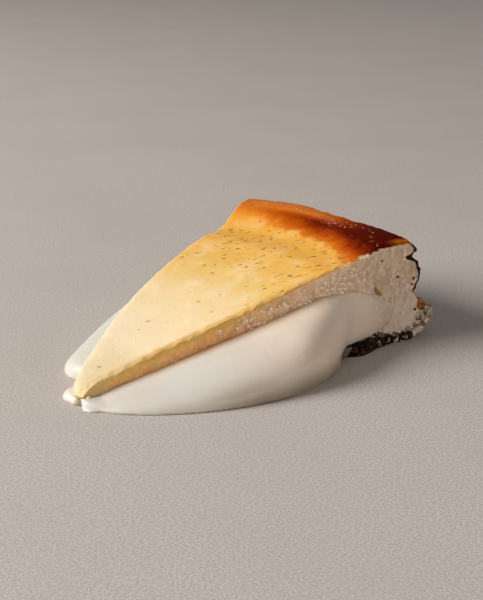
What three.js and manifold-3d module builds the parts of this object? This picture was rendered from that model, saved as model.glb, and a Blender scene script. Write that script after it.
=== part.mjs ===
// A slice of Basque cheesecake with a molten centre, standing by itself.
//
// Two solids, in millimetres, Z up, resting on z = 0:
//   baked_cake     the set custard in one piece: the browned top with its raised rim, the wrinkled outer wall with
//                  the foot where batter ran into the folds of the lining, and the thin base crust. A hollow runs
//                  through it from cut side to cut side.
//   molten_centre  the soft custard that fills that hollow. It has run out of both cut sides and round the tip, and
//                  lies there as a low pool.
//
// The shapes are worked out in the round cake's own frame: the centre of the cake is the origin, and +X runs along
// the middle of the slice. "near" is the cut side at -Y and "far" the one at +Y. The finished group is then moved so
// that the middle of its outline is the origin.
import * as THREE from 'three';
import { mergeVertices } from 'three/addons/utils/BufferGeometryUtils.js';
import Module from 'manifold-3d';

// ---- driving dimensions ----
const TIN_RADIUS = 118.5; // the wall, between its folds
const RIM_RADIUS = 115; // where the top rolls over into the wall
const HALF_ANGLE = THREE.MathUtils.degToRad(18.6); // ten slices to the cake
const RIM_HEIGHT = 35.2;
const TIP_START = -0.8; // the slice's blunt point reaches this far past the centre of the cake

// The top sinks in a straight line from the rim to the tip, a little lower along the near cut than the far one.
const TOP = {
  near: { atTip: 5.5, slope: 0.281, swale: 0.8 },
  far: { atTip: 6.5, slope: 0.272, swale: 3.2 },
};
const TOP_BLEND = 1.2; // softness of the turn from the sinking top to the level rim
const TIP_DROOP = { depth: 3.2, reach: 2.8 };
const SWALE = { radius: 95, width: 9 }; // the dip inside the rim
const RIM_WAVES = [
  { angle: 9.5, width: 8, rise: 1.5 },
  { angle: -1, width: 4, rise: -1 },
];
const ROLL = { start: 111, depth: 0.7 }; // the rim's top eases down before the corner

// The wall's long folds, as bells on its height: how far each stands out of the tin's radius, and how much higher it
// runs at the far cut.
const WALL_FOLDS = [
  { height: 33.8, width: 2.2, out: -2.5, climb: 0 }, // rounded top corner
  { height: 28.3, width: 1.5, out: -2.2, climb: -5 }, // crease
  { height: 22.5, width: 3.6, out: 1.5, climb: -3 }, // bulge
  { height: 15.6, width: 2, out: -0.7, climb: 4 }, // crease above the foot
  { height: 9, width: 4.2, out: 5.4, climb: 0, loss: 0.6 }, // foot, smaller away from the near cut
  { height: 0, width: 2.5, out: -1.6, climb: 0 }, // tucked-in base
];
const FOLD_LOSS = { from: 0.05, to: 0.6 }; // the shares across the slice between which the foot gets smaller
// Upright folds of the paper lining: how many across the slice, and their lean in radians a millimetre.
const PLEATS = [
  { depth: 0.9, count: 3.2, lean: 0.1 },
  { depth: 0.5, count: 5.3, lean: -0.16 },
];
const PLEATS_FADE = { fromCut: 0.15, underRim: 7 }; // none at the near cut, where the photographed edge runs

// How far each cut side has slumped outwards.
const NEAR_SLUMP = { tip: 1.2, tipReach: 10, middle: 1.2, end: 88 };
const FAR_SLUMP = { tip: 2.2, tipReach: 12, middle: 5.9, end: 90 };
const BASE_LIP = { radius: 94, width: 9, out: 5.5, height: 3.6 }; // base crust standing out of the near cut

// The molten centre.
const SKIN = { thickness: 5.6, growth: 0.042 }; // baked top over it, thicker towards the rim
const BASE_CRUST = 2.2; // baked base under it
const CORE = { start: 14, end: 97, lean: 9, margin: 0.03 }; // inside the hollow, this share short of each cut
const HOLLOW_TOP = 19.6; // it is never higher than this
const NEAR_POOL = { centre: 45, halfLength: 45, width: 22.6, tipBluntness: 1.7, rimBluntness: 2 };
const FAR_POOL = { centre: 46, halfLength: 40, width: 17.4, tipBluntness: 2.1, rimBluntness: 2 };
const POOL_LIP = 1.3; // the pool is never thinner than this where it leaves the cake
// What clings to the cut side past the pool. Its lower edge lifts off the ground from `lifts` on.
const FILM = { lifts: 87, start: 97, end: 110, thickness: 0.9, low: 2.5, leastOpen: 0.02 };
const FILM_THINS = 0.6; // the share of its thickness it loses by its end
const FILM_SWELL = { at: 84, width: 11, out: 4.2 }; // where it leaves the pool
const BANK_ROUNDNESS = { ends: 2, middle: 2.5, at: 72, width: 16 }; // of the bank's section
const BANK_ROOT = { depth: 2.5, end: 0.5, from: 89, to: 101 }; // how far the banks reach into the hollow
const BANK_LEAST = 0.2;
const TIP_LOBE = { along: 4, across: 1, out: 0.2, radius: 4.4, height: 3.6 };
const TOE = { along: 80.5, across: 0, out: 8, radius: 6, height: 3.6 }; // low end of the near pool
const GAP = 0.3; // kept between the two solids

// Torn crumbs along the foot of each cut side: how many, and the radii they lie between.
const CRUMB_ROWS = [
  { across: 0, count: 15, from: 96, to: 119 },
  { across: 1, count: 8, from: 97, to: 117 },
];
const CRUMB = { size: 1.6, spread: 1, seed: 7, climb: 5, climbFrom: 106, climbTo: 118 };

// Outline's middle in the cake's frame.
const CENTRE_X = 60.4;
const CENTRE_Y = -0.5;

const wasm = await Module();
wasm.setup();

// ---- small helpers ----
const { lerp, clamp, smoothstep } = THREE.MathUtils;
const bell = (x, middle, width) => Math.exp(-(((x - middle) / width) ** 2));

// The surface of a unit cube cut into nu x nh x nv cells, with each point moved by place(u, h, v).
function warpedBox(nu, nh, nv, place) {
  const box = new THREE.BoxGeometry(1, 1, 1, nu, nv, nh);
  const position = box.getAttribute('position');
  const point = new THREE.Vector3();
  for (let i = 0; i < position.count; i++) {
    point.fromBufferAttribute(position, i).addScalar(0.5);
    place(clamp(point.x, 0, 1), clamp(point.z, 0, 1), clamp(point.y, 0, 1), point);
    position.setXYZ(i, point.x, point.y, point.z);
  }
  return box;
}

function solid(geometry) {
  geometry.deleteAttribute('normal');
  geometry.deleteAttribute('uv');
  const merged = mergeVertices(geometry, 1e-4);
  return new wasm.Manifold(
    new wasm.Mesh({
      numProp: 3,
      vertProperties: new Float32Array(merged.getAttribute('position').array),
      triVerts: new Uint32Array(merged.index.array),
    }),
  );
}

// The cut can leave scraps too thin to see: only the largest piece is kept.
const largest = (body) => body.decompose().sort((a, b) => b.volume() - a.volume())[0];

function meshOf(name, body, material) {
  const { vertProperties, triVerts } = body.getMesh();
  const geometry = new THREE.BufferGeometry();
  geometry.setAttribute('position', new THREE.BufferAttribute(new Float32Array(vertProperties), 3));
  geometry.setIndex(new THREE.BufferAttribute(new Uint32Array(triVerts), 1));
  geometry.computeVertexNormals();
  const mesh = new THREE.Mesh(geometry, material);
  mesh.name = name;
  return mesh;
}

// ---- the slice's plan ----
const slump = (side, r) =>
  side.tip * Math.exp(-r / side.tipReach) +
  side.middle * Math.sin(Math.PI * clamp(r / side.end, 0, 1)) ** 0.9;

// A point at radius r and at the share `across` from the near cut (0) to the far one (1). On a cut it can stand
// outwards by `out`.
function plan(r, across, z, out, point) {
  const angle = lerp(-HALF_ANGLE, HALF_ANGLE, across);
  const near = (1 - across) * slump(NEAR_SLUMP, r) + (across === 0 ? out : 0);
  const far = across * slump(FAR_SLUMP, r) + (across === 1 ? out : 0);
  const sin = Math.sin(HALF_ANGLE);
  const cos = Math.cos(HALF_ANGLE);
  return point.set(
    r * Math.cos(angle) - (near + far) * sin,
    r * Math.sin(angle) + (far - near) * cos,
    z,
  );
}

// ---- the baked part's faces ----
function topHeight(r, across) {
  const atTip = lerp(TOP.near.atTip, TOP.far.atTip, across);
  const slope = lerp(TOP.near.slope, TOP.far.slope, across);
  const swale = lerp(TOP.near.swale, TOP.far.swale, across);
  const angle = THREE.MathUtils.radToDeg(lerp(-HALF_ANGLE, HALF_ANGLE, across));
  let rim = RIM_HEIGHT;
  for (const wave of RIM_WAVES) rim += wave.rise * bell(angle, wave.angle, wave.width);
  const sunk = atTip + slope * r - swale * bell(r, SWALE.radius, SWALE.width);
  const blended = -TOP_BLEND * Math.log(Math.exp(-sunk / TOP_BLEND) + Math.exp(-rim / TOP_BLEND));
  const droop = TIP_DROOP.depth * Math.exp(-Math.max(r, 0) / TIP_DROOP.reach);
  return blended - droop - ROLL.depth * smoothstep(r, ROLL.start, RIM_RADIUS);
}

function wallRadius(z, across) {
  let radius = TIN_RADIUS;
  for (const { height, width, out, climb, loss = 0 } of WALL_FOLDS) {
    const stands = out * (1 - loss * smoothstep(across, FOLD_LOSS.from, FOLD_LOSS.to));
    radius += stands * bell(z, height + climb * across, width);
  }
  const fade = smoothstep(across, 0, PLEATS_FADE.fromCut) * smoothstep(RIM_HEIGHT - z, 0, PLEATS_FADE.underRim);
  for (const { depth, count, lean } of PLEATS) {
    radius += depth * Math.sin(2 * Math.PI * count * across + lean * z) * fade;
  }
  return radius;
}

function bakedOutside() {
  return solid(
    warpedBox(40, 15, 16, (u, h, v, point) => {
      const z = h * topHeight(lerp(TIP_START, RIM_RADIUS, u), v);
      const reach = h === 1 ? RIM_RADIUS : wallRadius(h * RIM_HEIGHT, v);
      const r = lerp(TIP_START, reach, u);
      const lip = BASE_LIP.out * bell(r, BASE_LIP.radius, BASE_LIP.width);
      const out = v === 0 ? lip * (1 - smoothstep(z, 0, BASE_LIP.height)) : 0;
      plan(r, v, z, out, point);
    }),
  );
}

// ---- the molten centre ----
const skinUnder = (s, across) =>
  topHeight(Math.max(s, 6), across) - SKIN.thickness - SKIN.growth * s;

// Upper and lower line of what has run out over a cut side, at the distance s along it. The film past the pool ends
// round.
function bankLines(s, across) {
  const high = Math.min(Math.hypot(POOL_LIP, Math.max(skinUnder(s, across), 0)), HOLLOW_TOP);
  if (s < FILM.start) return { low: FILM.low * smoothstep(s, FILM.lifts, FILM.start), high };
  const middle = (HOLLOW_TOP + FILM.low) / 2;
  const closing = 1 - ((s - FILM.start) / (FILM.end - FILM.start)) ** 2;
  const open = Math.sqrt(Math.max(closing, FILM.leastOpen));
  return { low: lerp(middle, FILM.low, open), high: lerp(middle, HOLLOW_TOP, open) };
}

function bankWidth(s, pool) {
  const way = Math.min(Math.abs(s - pool.centre) / pool.halfLength, 1);
  const bluntness = s < pool.centre ? pool.tipBluntness : pool.rimBluntness;
  const flow = pool.width * (1 - way ** bluntness) ** (1 / bluntness);
  const film = FILM.thickness * (1 - FILM_THINS * smoothstep(s, FILM.start, FILM.end));
  return Math.hypot(flow, film + FILM_SWELL.out * bell(s, FILM_SWELL.at, FILM_SWELL.width));
}

// The bank on one cut side: its section is a quarter of a rounded shape, from under the baked top down to the ground.
function bank(pool, across, grow) {
  const start = pool.centre - pool.halfLength;
  return warpedBox(36, 10, 1, (u, h, v, point) => {
    const s = lerp(start - grow, FILM.end + grow, u);
    const { low, high } = bankLines(s, across);
    const { ends, middle, at, width } = BANK_ROUNDNESS;
    const power = 2 / lerp(ends, middle, bell(s, at, width));
    const turn = (h * Math.PI) / 2;
    const outside = (bankWidth(s, pool) + grow) * Math.cos(turn) ** power;
    const z = lerp(low - grow, high + grow, Math.sin(turn) ** power);
    const root = -lerp(BANK_ROOT.depth, BANK_ROOT.end, smoothstep(s, BANK_ROOT.from, BANK_ROOT.to)) - grow;
    // v runs from the near side to the far one, so the outer face is at 0 on the near bank and at 1 on the far one.
    const share = across === 0 ? 1 - v : v;
    plan(s, across, z, lerp(root, Math.max(outside, root + BANK_LEAST), share), point);
  });
}

function core(grow) {
  return warpedBox(18, 4, 6, (u, h, v, point) => {
    const end = CORE.end + grow - CORE.lean * h ** 2;
    const r = lerp(CORE.start - grow, end, u);
    const across = lerp(CORE.margin, 1 - CORE.margin, v);
    const high = Math.min(skinUnder(r, across), HOLLOW_TOP) + grow;
    plan(r, across, lerp(BASE_CRUST - grow, high, h), 0, point);
  });
}

// A low round mound on the ground.
function mound({ along, across, out, radius, height }, grow) {
  const steps = 8;
  const profile = [new THREE.Vector2(0, -grow), new THREE.Vector2(radius + grow, -grow)];
  for (let i = 0; i < steps; i++) {
    const turn = (i / steps) * (Math.PI / 2);
    profile.push(new THREE.Vector2((radius + grow) * Math.cos(turn), (height + grow) * Math.sin(turn)));
  }
  profile.push(new THREE.Vector2(0, height + grow));
  const spot = plan(along, across, 0, out, new THREE.Vector3());
  return new THREE.LatheGeometry(profile, 20).rotateX(Math.PI / 2).translate(spot.x, spot.y, 0);
}

function molten(grow) {
  return [bank(NEAR_POOL, 0, grow), bank(FAR_POOL, 1, grow), mound(TIP_LOBE, grow), mound(TOE, grow)]
    .map(solid)
    .reduce((whole, piece) => whole.add(piece), solid(core(grow)));
}

// ---- torn crumbs along the foot ----
function randoms(seed) {
  let state = seed;
  return () => {
    state = (state * 16807) % 2147483647;
    return state / 2147483647;
  };
}

function crumbs() {
  const random = randoms(CRUMB.seed);
  return CRUMB_ROWS.flatMap(({ across, count, from, to }) =>
    Array.from({ length: count }, (_, i) => {
      const r = lerp(from, to, (i + random()) / count);
      const size = CRUMB.size + CRUMB.spread * (random() - 0.5);
      const lift = size * 0.8 + random() * CRUMB.climb * smoothstep(r, CRUMB.climbFrom, CRUMB.climbTo);
      const spot = plan(r, across, lift, -0.3 * size, new THREE.Vector3());
      const crumb = new THREE.IcosahedronGeometry(size, 0);
      crumb.scale(0.8 + 0.5 * random(), 0.8 + 0.4 * random(), 0.7);
      crumb.rotateZ(random() * Math.PI);
      return solid(crumb.translate(spot.x, spot.y, spot.z));
    }),
  );
}

// ---- the two solids ----
const soft = molten(0);
const baked = crumbs()
  .reduce((whole, crumb) => whole.add(crumb), bakedOutside())
  .subtract(molten(GAP));

const bakedMaterial = new THREE.MeshStandardMaterial({ color: 0xe0a95a, roughness: 0.6, metalness: 0 });
const moltenMaterial = new THREE.MeshStandardMaterial({ color: 0xe9e0cf, roughness: 0.3, metalness: 0 });

const slice = new THREE.Group();
slice.add(meshOf('baked_cake', largest(baked), bakedMaterial));
slice.add(meshOf('molten_centre', largest(soft), moltenMaterial));
slice.position.set(-CENTRE_X, -CENTRE_Y, 0);

export default slice;
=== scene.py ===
"""A slice of basque cheesecake with a molten centre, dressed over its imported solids.

Lengths are in millimetres until a mesh is made, and meshes are in metres. The shapes are worked out in the
round cake's own frame: its centre is the origin and +X runs along the middle of the slice. "near" is the cut
side at -Y, which faces the camera, and "far" the one at +Y.
"""

import math

import bmesh
import bpy
import numpy as np
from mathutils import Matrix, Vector


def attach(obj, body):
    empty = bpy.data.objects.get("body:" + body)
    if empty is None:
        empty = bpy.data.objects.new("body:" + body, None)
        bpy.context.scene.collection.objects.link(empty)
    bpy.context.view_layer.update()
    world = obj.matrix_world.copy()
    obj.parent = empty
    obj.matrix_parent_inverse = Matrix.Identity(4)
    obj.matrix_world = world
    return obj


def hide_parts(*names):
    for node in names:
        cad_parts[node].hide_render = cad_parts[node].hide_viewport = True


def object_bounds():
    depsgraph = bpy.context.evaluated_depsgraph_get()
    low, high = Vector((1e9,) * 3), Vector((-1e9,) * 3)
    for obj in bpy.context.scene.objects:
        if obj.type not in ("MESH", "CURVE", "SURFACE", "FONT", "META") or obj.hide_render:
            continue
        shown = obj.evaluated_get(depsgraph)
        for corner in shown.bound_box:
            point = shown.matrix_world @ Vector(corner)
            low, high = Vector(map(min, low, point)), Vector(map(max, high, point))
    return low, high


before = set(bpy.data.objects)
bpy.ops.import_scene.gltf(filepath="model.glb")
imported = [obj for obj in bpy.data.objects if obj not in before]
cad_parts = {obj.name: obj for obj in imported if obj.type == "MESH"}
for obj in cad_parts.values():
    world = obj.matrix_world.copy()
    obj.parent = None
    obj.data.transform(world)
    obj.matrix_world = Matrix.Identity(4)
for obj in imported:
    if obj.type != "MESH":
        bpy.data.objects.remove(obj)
CAD_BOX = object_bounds()

MM = 0.001

# ---- the slice, as its solids have it ----
TIN_RADIUS = 118.5
RIM_RADIUS = 115.0
HALF_ANGLE = math.radians(18.6)
RIM_HEIGHT = 35.2
TIP_START = 1.0
CENTRE = (60.4, -0.5)  # middle of the outline, in the cake's frame

TOP_AT_TIP = (5.5, 6.5)  # near cut, far cut
TOP_SLOPE = (0.281, 0.272)
TOP_SWALE = (0.8, 1.9)
TOP_BLEND = 1.2
TIP_DROOP = dict(depth=3.2, reach=2.8)
SWALE = dict(radius=95.0, width=9.0)
RIM_WAVES = (dict(angle=9.5, width=8.0, rise=1.5), dict(angle=-1.0, width=4.0, rise=-0.3))
ROLL = dict(start=111.0, depth=0.4)

WALL_FOLDS = (
    dict(height=36.2, width=3.0, out=-4.2, climb=0.0, loss=0.0),
    dict(height=29.5, width=1.3, out=-1.9, climb=-5.0, loss=0.0),
    dict(height=22.6, width=3.4, out=1.6, climb=-3.0, loss=0.0),
    dict(height=16.6, width=2.4, out=-1.1, climb=4.0, loss=0.0),
    dict(height=8.0, width=4.6, out=6.4, climb=0.0, loss=0.66),
    dict(height=0.0, width=2.5, out=-1.6, climb=0.0, loss=0.0),
)
FOLD_LOSS = (0.05, 0.6)
PLEATS = (dict(depth=0.9, count=3.2, lean=0.1), dict(depth=0.5, count=5.3, lean=-0.16))
PLEATS_FADE = dict(from_cut=0.15, under_rim=7.0)

SLUMP_FULLNESS = 0.9  # 1 is a plain half wave, less is fuller
NEAR_SLUMP = dict(tip=1.2, tip_reach=10.0, middle=1.2, end=88.0)
FAR_SLUMP = dict(tip=2.2, tip_reach=12.0, middle=7.0, end=90.0)
BASE_LIP = dict(radius=94.0, width=9.0, out=5.5, height=3.6)

SKIN = dict(thickness=4.7, growth=0.040, flat_to=6.0)  # over the molten part, thicker by radius
BASE_CRUST = 2.2
CORE = dict(start=14.0, end=97.0, lean=9.0, margin=0.03)
HOLLOW_TOP = 20.6
NEAR_POOL = dict(
    centre=48.8, to_tip=48.0, to_rim=42.9, width=23.0, tip_curve=(1.8, 1 / 1.8), rim_curve=(3.0, 1.0)
)
FAR_POOL = dict(
    centre=23.0, to_tip=9.5, to_rim=62.0, width=13.3, tip_curve=(2.4, 1 / 2.4), rim_curve=(3.6, 0.45)
)
POOL_LEANS = dict(by=7.7, level=0.17, start=50.0, end=78.0)  # a pool reaches further to the rim higher up
POOL_LIP = 1.3
FILM = dict(lifts=80.5, lifted=86.5, start=97.0, end=110.0, thickness=0.9, low=3.6, least_open=0.02)
FILM_THINS = 0.6
FILM_SWELL = dict(at=88.8, width=7.9, out=3.5)
ROUNDNESS = dict(pool=2.35, film=1.0, thins_from=64.6, thins_to=102.4)
SHOULDER = dict(at=67.0, width=8.0, out=0.34)
FILM_SINKS = 0.4  # how far the film's edge lies under the curd's surface
BANK_ROOT = 2.5  # how far a bank reaches into the cake
LEAST_BANK = 0.2
TIP_LOBE = dict(along=4.0, side="far", out=0.2, radius=4.4, height=3.6)
TIP_DRIP = dict(along=1.6, side="far", out=-1.4, radius=2.65, height=2.5)
TIP_SKIRT = dict(along=3.8, side="near", out=2.9, radius=4.1, height=1.5)
TOE = dict(along=79.0, side="near", out=7.4, radius=5.8, height=3.4)

# ---- how finely the pieces are made ----
SHELL_CELLS = dict(along=290, up=60, across=136)
BANK_CELLS = dict(along=200, up=40)
CUTTER_CELLS = dict(along=90, up=18)
CORE_CELLS = dict(along=30, up=6, across=12)
MOUND_CELLS = (40, 24)  # around, and from pole to pole
CUSTARD_VOXEL = 0.45
CUSTARD_SMOOTHING = 16
WELD = 0.00001  # points nearer to each other than this are one
CUTTER_INSET = 0.12  # the pool reaches this far into the cake, so no light shows between them

# ---- the photographed view ----
VIEW_TURN = math.radians(45.395)
VIEW_DROP = math.radians(19.70)
VIEW_DISTANCE = 438.5
VIEW_AIM = (98.83, 30.02)
VIEW_LENS = 72.0
SENSOR = 36.0


# ---- small sums ----
def lerp(a, b, t):
    return a + (b - a) * t


def smoothstep(x, low, high):
    t = np.clip((x - low) / (high - low), 0, 1)
    return t * t * (3 - 2 * t)


def bell(x, middle, width):
    return np.exp(-(((x - middle) / width) ** 2))


def swell(x, place):
    return place["out"] * bell(x, place["at"], place["width"])


# ---- the slice's plan and faces ----
def slump(side, r):
    """How far a cut side has sunk outwards at radius r."""
    middle = np.sin(np.pi * np.clip(r / side["end"], 0, 1)) ** SLUMP_FULLNESS
    return side["tip"] * np.exp(-r / side["tip_reach"]) + side["middle"] * middle


def plan(r, across, out=0.0):
    """The x and y at radius r and at the share across from near to far. A cut stands out by out."""
    angle = lerp(-HALF_ANGLE, HALF_ANGLE, across)
    near = (1 - across) * slump(NEAR_SLUMP, r) + np.where(across == 0, out, 0)
    far = across * slump(FAR_SLUMP, r) + np.where(across == 1, out, 0)
    x = r * np.cos(angle) - (near + far) * math.sin(HALF_ANGLE)
    y = r * np.sin(angle) + (far - near) * math.cos(HALF_ANGLE)
    return x, y


def top_height(r, across):
    at_tip, slope, swale = (lerp(*sides, across) for sides in (TOP_AT_TIP, TOP_SLOPE, TOP_SWALE))
    angle = np.degrees(lerp(-HALF_ANGLE, HALF_ANGLE, across))
    rim = RIM_HEIGHT + sum(wave["rise"] * bell(angle, wave["angle"], wave["width"]) for wave in RIM_WAVES)
    sunk = at_tip + slope * r - swale * bell(r, SWALE["radius"], SWALE["width"])
    blended = -TOP_BLEND * np.log(np.exp(-sunk / TOP_BLEND) + np.exp(-rim / TOP_BLEND))
    droop = TIP_DROOP["depth"] * np.exp(-np.maximum(r - TIP_START, 0) / TIP_DROOP["reach"])
    return blended - droop - ROLL["depth"] * smoothstep(r, ROLL["start"], RIM_RADIUS)


def skin_under(r, across):
    """Height of the underside of the set curd over the molten part."""
    return top_height(np.maximum(r, SKIN["flat_to"]), across) - SKIN["thickness"] - SKIN["growth"] * r


def wall_radius(z, across):
    radius = TIN_RADIUS
    for fold in WALL_FOLDS:
        stands = fold["out"] * (1 - fold["loss"] * smoothstep(across, *FOLD_LOSS))
        radius = radius + stands * bell(z, fold["height"] + fold["climb"] * across, fold["width"])
    fade = smoothstep(across, 0, PLEATS_FADE["from_cut"])
    fade = fade * smoothstep(RIM_HEIGHT - z, 0, PLEATS_FADE["under_rim"])
    for pleat in PLEATS:
        wave = np.sin(2 * np.pi * pleat["count"] * across + pleat["lean"] * z)
        radius = radius + pleat["depth"] * wave * fade
    return radius


# ---- the molten centre's lines ----
def bank_lines(s, across):
    """Lower and upper line of what has run out over a cut side, at the distance s along it."""
    high = np.minimum(np.hypot(POOL_LIP, np.maximum(skin_under(s, across), 0)), HOLLOW_TOP)
    low = FILM["low"] * smoothstep(s, FILM["lifts"], FILM["lifted"])
    middle = (HOLLOW_TOP + FILM["low"]) / 2
    past = np.maximum(s - FILM["start"], 0) / (FILM["end"] - FILM["start"])
    is_open = np.sqrt(np.maximum(1 - past**2, FILM["least_open"]))
    closed = s >= FILM["start"]
    return (
        np.where(closed, lerp(middle, FILM["low"], is_open), low),
        np.where(closed, lerp(middle, HOLLOW_TOP, is_open), high),
    )


def roundness(s):
    """How full a bank's section is: 2 is a quarter ellipse, and 1 hollows out towards both its lines."""
    thins = smoothstep(s, ROUNDNESS["thins_from"], ROUNDNESS["thins_to"])
    return lerp(ROUNDNESS["pool"], ROUNDNESS["film"], thins) + swell(s, SHOULDER)


def bank_width(s, pool):
    to_tip = s < pool["centre"]
    way = np.minimum(np.abs(s - pool["centre"]) / np.where(to_tip, pool["to_tip"], pool["to_rim"]), 1)
    tip_flow, rim_flow = ((1 - way**a) ** b for a, b in (pool["tip_curve"], pool["rim_curve"]))
    flow = pool["width"] * np.where(to_tip, tip_flow, rim_flow)
    film = FILM["thickness"] * (1 - FILM_THINS * smoothstep(s, FILM["start"], FILM["end"]))
    return np.hypot(flow, film + swell(s, FILM_SWELL))


# ---- making meshes ----
def mesh_object(name, points, faces):
    """An object from points in the cake's frame, in millimetres, and lists of corners."""
    mesh = bpy.data.meshes.new(name)
    placed = (np.asarray(points, float) - (*CENTRE, 0.0)) * MM
    mesh.from_pydata(placed.tolist(), [], faces)
    mesh.validate()
    made = bpy.data.objects.new(name, mesh)
    bpy.context.scene.collection.objects.link(made)
    return made


def quads(ids, flip=False):
    """The faces of a grid of point numbers."""
    corners = [ids[:-1, :-1], ids[1:, :-1], ids[1:, 1:], ids[:-1, 1:]]
    if flip:
        corners.reverse()
    return np.stack(corners, -1).reshape(-1, 4).tolist()


def box_ids(cells_u, cells_h, cells_v, sides):
    """Point numbers on the named sides of a box of cells, and the u, h and v of each point."""
    held = np.zeros((cells_u + 1, cells_h + 1, cells_v + 1), bool)
    for side in sides:
        held[side] = True
    ids = np.full(held.shape, -1)
    ids[held] = np.arange(held.sum())
    u, h, v = (axis / cells for axis, cells in zip(np.nonzero(held), (cells_u, cells_h, cells_v)))
    return ids, u, h, v


ALL = slice(None)
TIP_SIDE, WALL_SIDE = (0, ALL, ALL), (-1, ALL, ALL)
BASE_SIDE, TOP_SIDE = (ALL, 0, ALL), (ALL, -1, ALL)
NEAR_SIDE, FAR_SIDE = (ALL, ALL, 0), (ALL, ALL, -1)


def closed_box(name, cells_u, cells_h, cells_v, place):
    """A closed box of cells whose points are put where place(u, h, v) says."""
    sides = (TIP_SIDE, WALL_SIDE, BASE_SIDE, TOP_SIDE, NEAR_SIDE, FAR_SIDE)
    ids, u, h, v = box_ids(cells_u, cells_h, cells_v, sides)
    faces = quads(ids[TIP_SIDE], True) + quads(ids[WALL_SIDE])
    faces += quads(ids[BASE_SIDE]) + quads(ids[TOP_SIDE], True)
    faces += quads(ids[NEAR_SIDE], True) + quads(ids[FAR_SIDE])
    made = mesh_object(name, np.stack(place(u, h, v), -1), faces)
    point_outwards(made)
    return made


def point_outwards(made):
    cleaned = bmesh.new()
    cleaned.from_mesh(made.data)
    bmesh.ops.remove_doubles(cleaned, verts=cleaned.verts, dist=WELD * MM)
    bmesh.ops.recalc_face_normals(cleaned, faces=cleaned.faces)
    cleaned.to_mesh(made.data)
    cleaned.free()


def ball_mesh(around, up):
    """The points and faces of a ball one unit in radius."""
    ball = bmesh.new()
    bmesh.ops.create_uvsphere(ball, u_segments=around, v_segments=up, radius=1.0)
    points = np.array([vert.co for vert in ball.verts])
    faces = [[vert.index for vert in face.verts] for face in ball.faces]
    ball.free()
    return points, faces


def solid_mesh(host):
    """The object's mesh with its modifiers worked in."""
    graph = bpy.context.evaluated_depsgraph_get()
    evaluated = host.evaluated_get(graph)
    return bpy.data.meshes.new_from_object(evaluated, preserve_all_data_layers=True, depsgraph=graph)


def settle(host):
    """Works the modifiers into the object's own mesh."""
    mesh = solid_mesh(host)
    host.modifiers.clear()
    host.data = mesh


def join_or_cut(host, other, operation):
    modifier = host.modifiers.new(operation.lower(), "BOOLEAN")
    modifier.operation = operation
    modifier.solver = "MANIFOLD"
    modifier.object = other
    settle(host)
    bpy.data.objects.remove(other)


# ---- node trees ----
def add_node(tree, kind, inputs=None, **settings):
    made = tree.nodes.new(kind)
    for name, value in settings.items():
        setattr(made, name, value)
    for socket, value in (inputs or {}).items():
        if isinstance(value, bpy.types.NodeSocket):
            tree.links.new(value, made.inputs[socket])
        else:
            made.inputs[socket].default_value = value
    return made


def calc(tree, operation, *values, clamp=False):
    made = add_node(tree, "ShaderNodeMath", dict(enumerate(values)), operation=operation, use_clamp=clamp)
    return made.outputs[0]


def product(tree, first, *rest):
    for value in rest:
        first = calc(tree, "MULTIPLY", first, value)
    return first


def total(tree, first, *rest):
    for value in rest:
        first = calc(tree, "ADD", first, value)
    return first


def inverse(tree, value):
    return calc(tree, "SUBTRACT", 1.0, value)


def centred(tree, value):
    return calc(tree, "SUBTRACT", value, 0.5)


def vector(tree, operation, *values, **named):
    inputs = {**dict(enumerate(values)), **named}
    return add_node(tree, "ShaderNodeVectorMath", inputs, operation=operation).outputs[0]


def stretched(tree, where, factors):
    return vector(tree, "MULTIPLY", where, factors)


def upwards(tree, rise):
    return add_node(tree, "ShaderNodeCombineXYZ", {2: rise}).outputs[0]


def fade(tree, value, low, high, to_low=0.0, to_high=1.0, smooth=True):
    inputs = {0: value, 1: low, 2: high, 3: to_low, 4: to_high}
    kind = "SMOOTHSTEP" if smooth else "LINEAR"
    return add_node(tree, "ShaderNodeMapRange", inputs, interpolation_type=kind).outputs[0]


def shares(tree, values, steps):
    """A product of shares. Each is the name of a value, or that name and the places for fade."""
    named = [(step,) if isinstance(step, str) else step for step in steps]
    parts = [fade(tree, values[name], *limits) if limits else values[name] for name, *limits in named]
    return product(tree, *parts)


def noise(tree, where, size, detail=2.0, roughness=0.5):
    """Soft random values from 0 to 1 with blotches of about that size, in the units of where."""
    inputs = {"Vector": where, "Scale": 1 / size, "Detail": detail, "Roughness": roughness}
    return add_node(tree, "ShaderNodeTexNoise", inputs).outputs[0]


def ruffle(tree, where, size, detail, roughness, *factors):
    """Soft random rises and dips about 0, times the factors."""
    return product(tree, centred(tree, noise(tree, where, size, detail, roughness)), *factors)


def noise_vector(tree, where, scale, detail):
    """Three soft random values at once, to shift a pattern by."""
    inputs = {"Vector": where, "Scale": scale, "Detail": detail}
    return add_node(tree, "ShaderNodeTexNoise", inputs).outputs["Color"]


def cells(tree, where, size, feature="F1", **more):
    inputs = {"Vector": where, "Scale": 1 / size, **more}
    return add_node(tree, "ShaderNodeTexVoronoi", inputs, feature=feature).outputs


def new_tree(name, sizes):
    """A Geometry Nodes tree with a named input for each size. Returns it, its inputs and its end node."""
    tree = bpy.data.node_groups.new(name, "GeometryNodeTree")
    tree.interface.new_socket("Geometry", in_out="INPUT", socket_type="NodeSocketGeometry")
    for size in sizes:
        tree.interface.new_socket(size, in_out="INPUT", socket_type="NodeSocketFloat")
    tree.interface.new_socket("Geometry", in_out="OUTPUT", socket_type="NodeSocketGeometry")
    return tree, tree.nodes.new("NodeGroupInput").outputs, tree.nodes.new("NodeGroupOutput")


def end_tree(tree, end, geometry, material):
    realized = add_node(tree, "GeometryNodeRealizeInstances", {0: geometry}).outputs[0]
    inputs = {"Geometry": realized, "Material": material}
    tree.links.new(add_node(tree, "GeometryNodeSetMaterial", inputs).outputs[0], end.inputs[0])


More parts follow.
